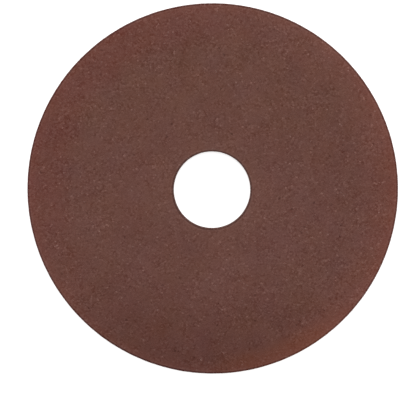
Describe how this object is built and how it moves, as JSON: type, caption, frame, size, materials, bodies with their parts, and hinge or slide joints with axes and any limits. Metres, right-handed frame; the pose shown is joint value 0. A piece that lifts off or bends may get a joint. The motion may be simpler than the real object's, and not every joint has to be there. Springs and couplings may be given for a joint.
{
  "type": "chainsaw sharpening wheel",
  "caption": "Thin flat grinding wheel of bonded abrasive grain with a plain round bore, for a bench chain sharpener.",
  "frame": {"origin": "the axis of rotation at the lower face, which the wheel lies on", "axes": "+Z along the bore's axis, up through the thickness; X and Y lie in the lower face, and the wheel is round about Z"},
  "size_m": [0.108, 0.108, 0.0032],
  "materials": {
    "bonded_abrasive": "matte"
  },
  "bodies": {
    "root": {"abrasive_wheel": "bonded_abrasive"}
  },
  "joints": []
}
